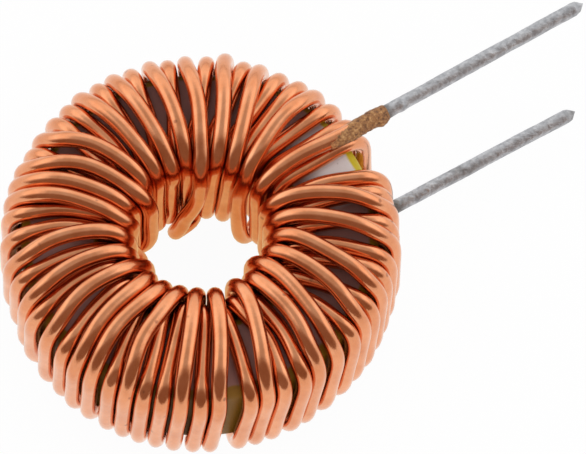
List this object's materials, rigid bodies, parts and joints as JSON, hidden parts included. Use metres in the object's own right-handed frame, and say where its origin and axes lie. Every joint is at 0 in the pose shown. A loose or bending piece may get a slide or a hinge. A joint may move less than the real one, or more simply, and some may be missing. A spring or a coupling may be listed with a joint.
{
  "type": "toroidal inductor",
  "caption": "Toroidal power inductor: hand-wound enamelled copper wire on a coated iron-powder ring, with two long tinned leads leaving one side.",
  "frame": {"origin": "centre of the ring, midway between its two faces", "axes": "+Z along the ring's axis, to the side the upper lead crosses; +X the way both leads leave the ring"},
  "size_m": [0.049, 0.03, 0.0126],
  "materials": {
    "painted_core": "baked coat of yellow paint, with one face white",
    "enamelled_copper": "clear amber enamel over drawn copper",
    "burnt_enamel": "enamel scorched dull and crusted by the solder bath",
    "tinned_copper": "dull lumpy solder coat on copper"
  },
  "bodies": {
    "root": {"core": "painted_core", "winding": "enamelled_copper"}
  },
  "joints": []
}
